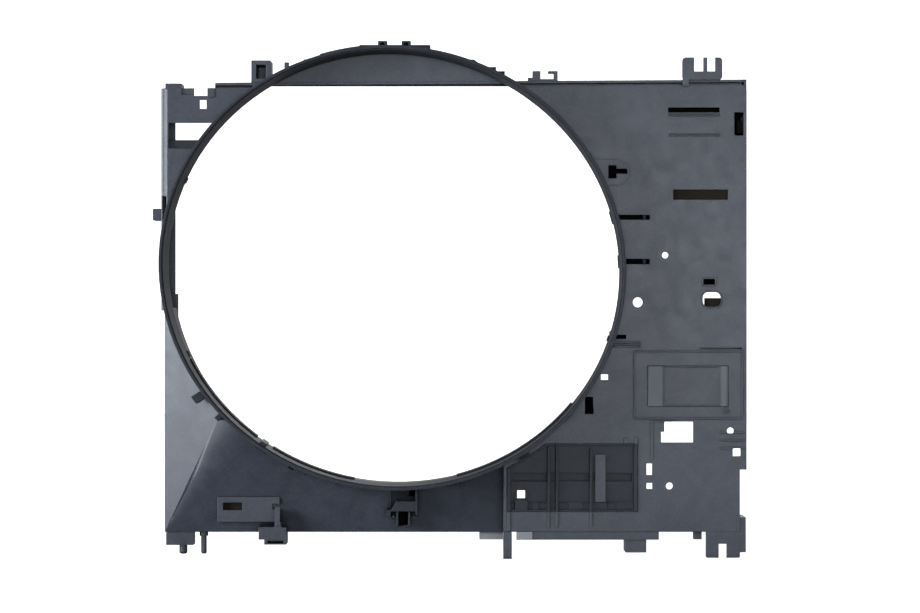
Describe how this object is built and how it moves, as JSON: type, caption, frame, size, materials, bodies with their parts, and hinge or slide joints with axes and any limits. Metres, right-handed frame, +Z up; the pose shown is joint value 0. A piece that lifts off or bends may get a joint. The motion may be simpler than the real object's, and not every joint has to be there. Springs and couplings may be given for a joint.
{
  "type": "radiator fan shroud",
  "caption": "Moulded fan shroud with an oval collar beside a ribbed side panel, carrier tray, clip-on brackets and foam seals; guides air from a radiator to its fan.",
  "frame": {"origin": "on the fan axis, in the plane of the rear flange that faces the radiator", "axes": "+X to the right and +Z up as seen from the engine, +Y from the engine to the radiator"},
  "size_m": [0.6002, 0.096, 0.5149],
  "materials": {
    "frame_plastic": "injection-moulded talc-filled polypropylene, dark blue-grey, fine matt grain",
    "collar_plastic": "the same moulded polypropylene, a little glossier along the lip",
    "tray_plastic": "moulded polypropylene, slightly smoother than the frame",
    "black_nylon": "moulded glass-filled nylon, near black",
    "pale_nylon": "moulded natural nylon, pale grey-white",
    "brown_foam": "open-cell urethane foam, brown-grey, matt",
    "black_seal": "cellular rubber strip, black, matt"
  },
  "bodies": {
    "root": {"main_frame": "frame_plastic", "top_hood": "frame_plastic", "fan_collar": "collar_plastic", "collar_lip_right": "collar_plastic", "collar_lip_bottom": "collar_plastic", "collar_lip_left": "collar_plastic", "collar_clips": "black_nylon", "hose_bracket": "collar_plastic", "connector_socket": "frame_plastic", "post_bracket": "frame_plastic", "harness_clip": "frame_plastic", "upper_fork": "frame_plastic", "lower_fork": "frame_plastic", "edge_strip": "frame_plastic", "support_foot": "frame_plastic", "air_deflector": "frame_plastic", "guide_leg": "frame_plastic", "corner_bracket": "frame_plastic", "locating_pin": "frame_plastic", "spring_latch": "frame_plastic", "carrier_tray": "tray_plastic", "tray_lock_bar": "tray_plastic", "cover_plate": "tray_plastic", "bottom_clip": "tray_plastic", "side_lug": "frame_plastic", "foam_upper": "brown_foam", "foam_middle": "brown_foam", "foam_lower": "brown_foam", "panel_clips": "pale_nylon", "seal_left": "black_seal", "seal_right": "black_seal", "seal_bottom": "black_seal", "seal_upper": "black_seal"}
  },
  "joints": []
}
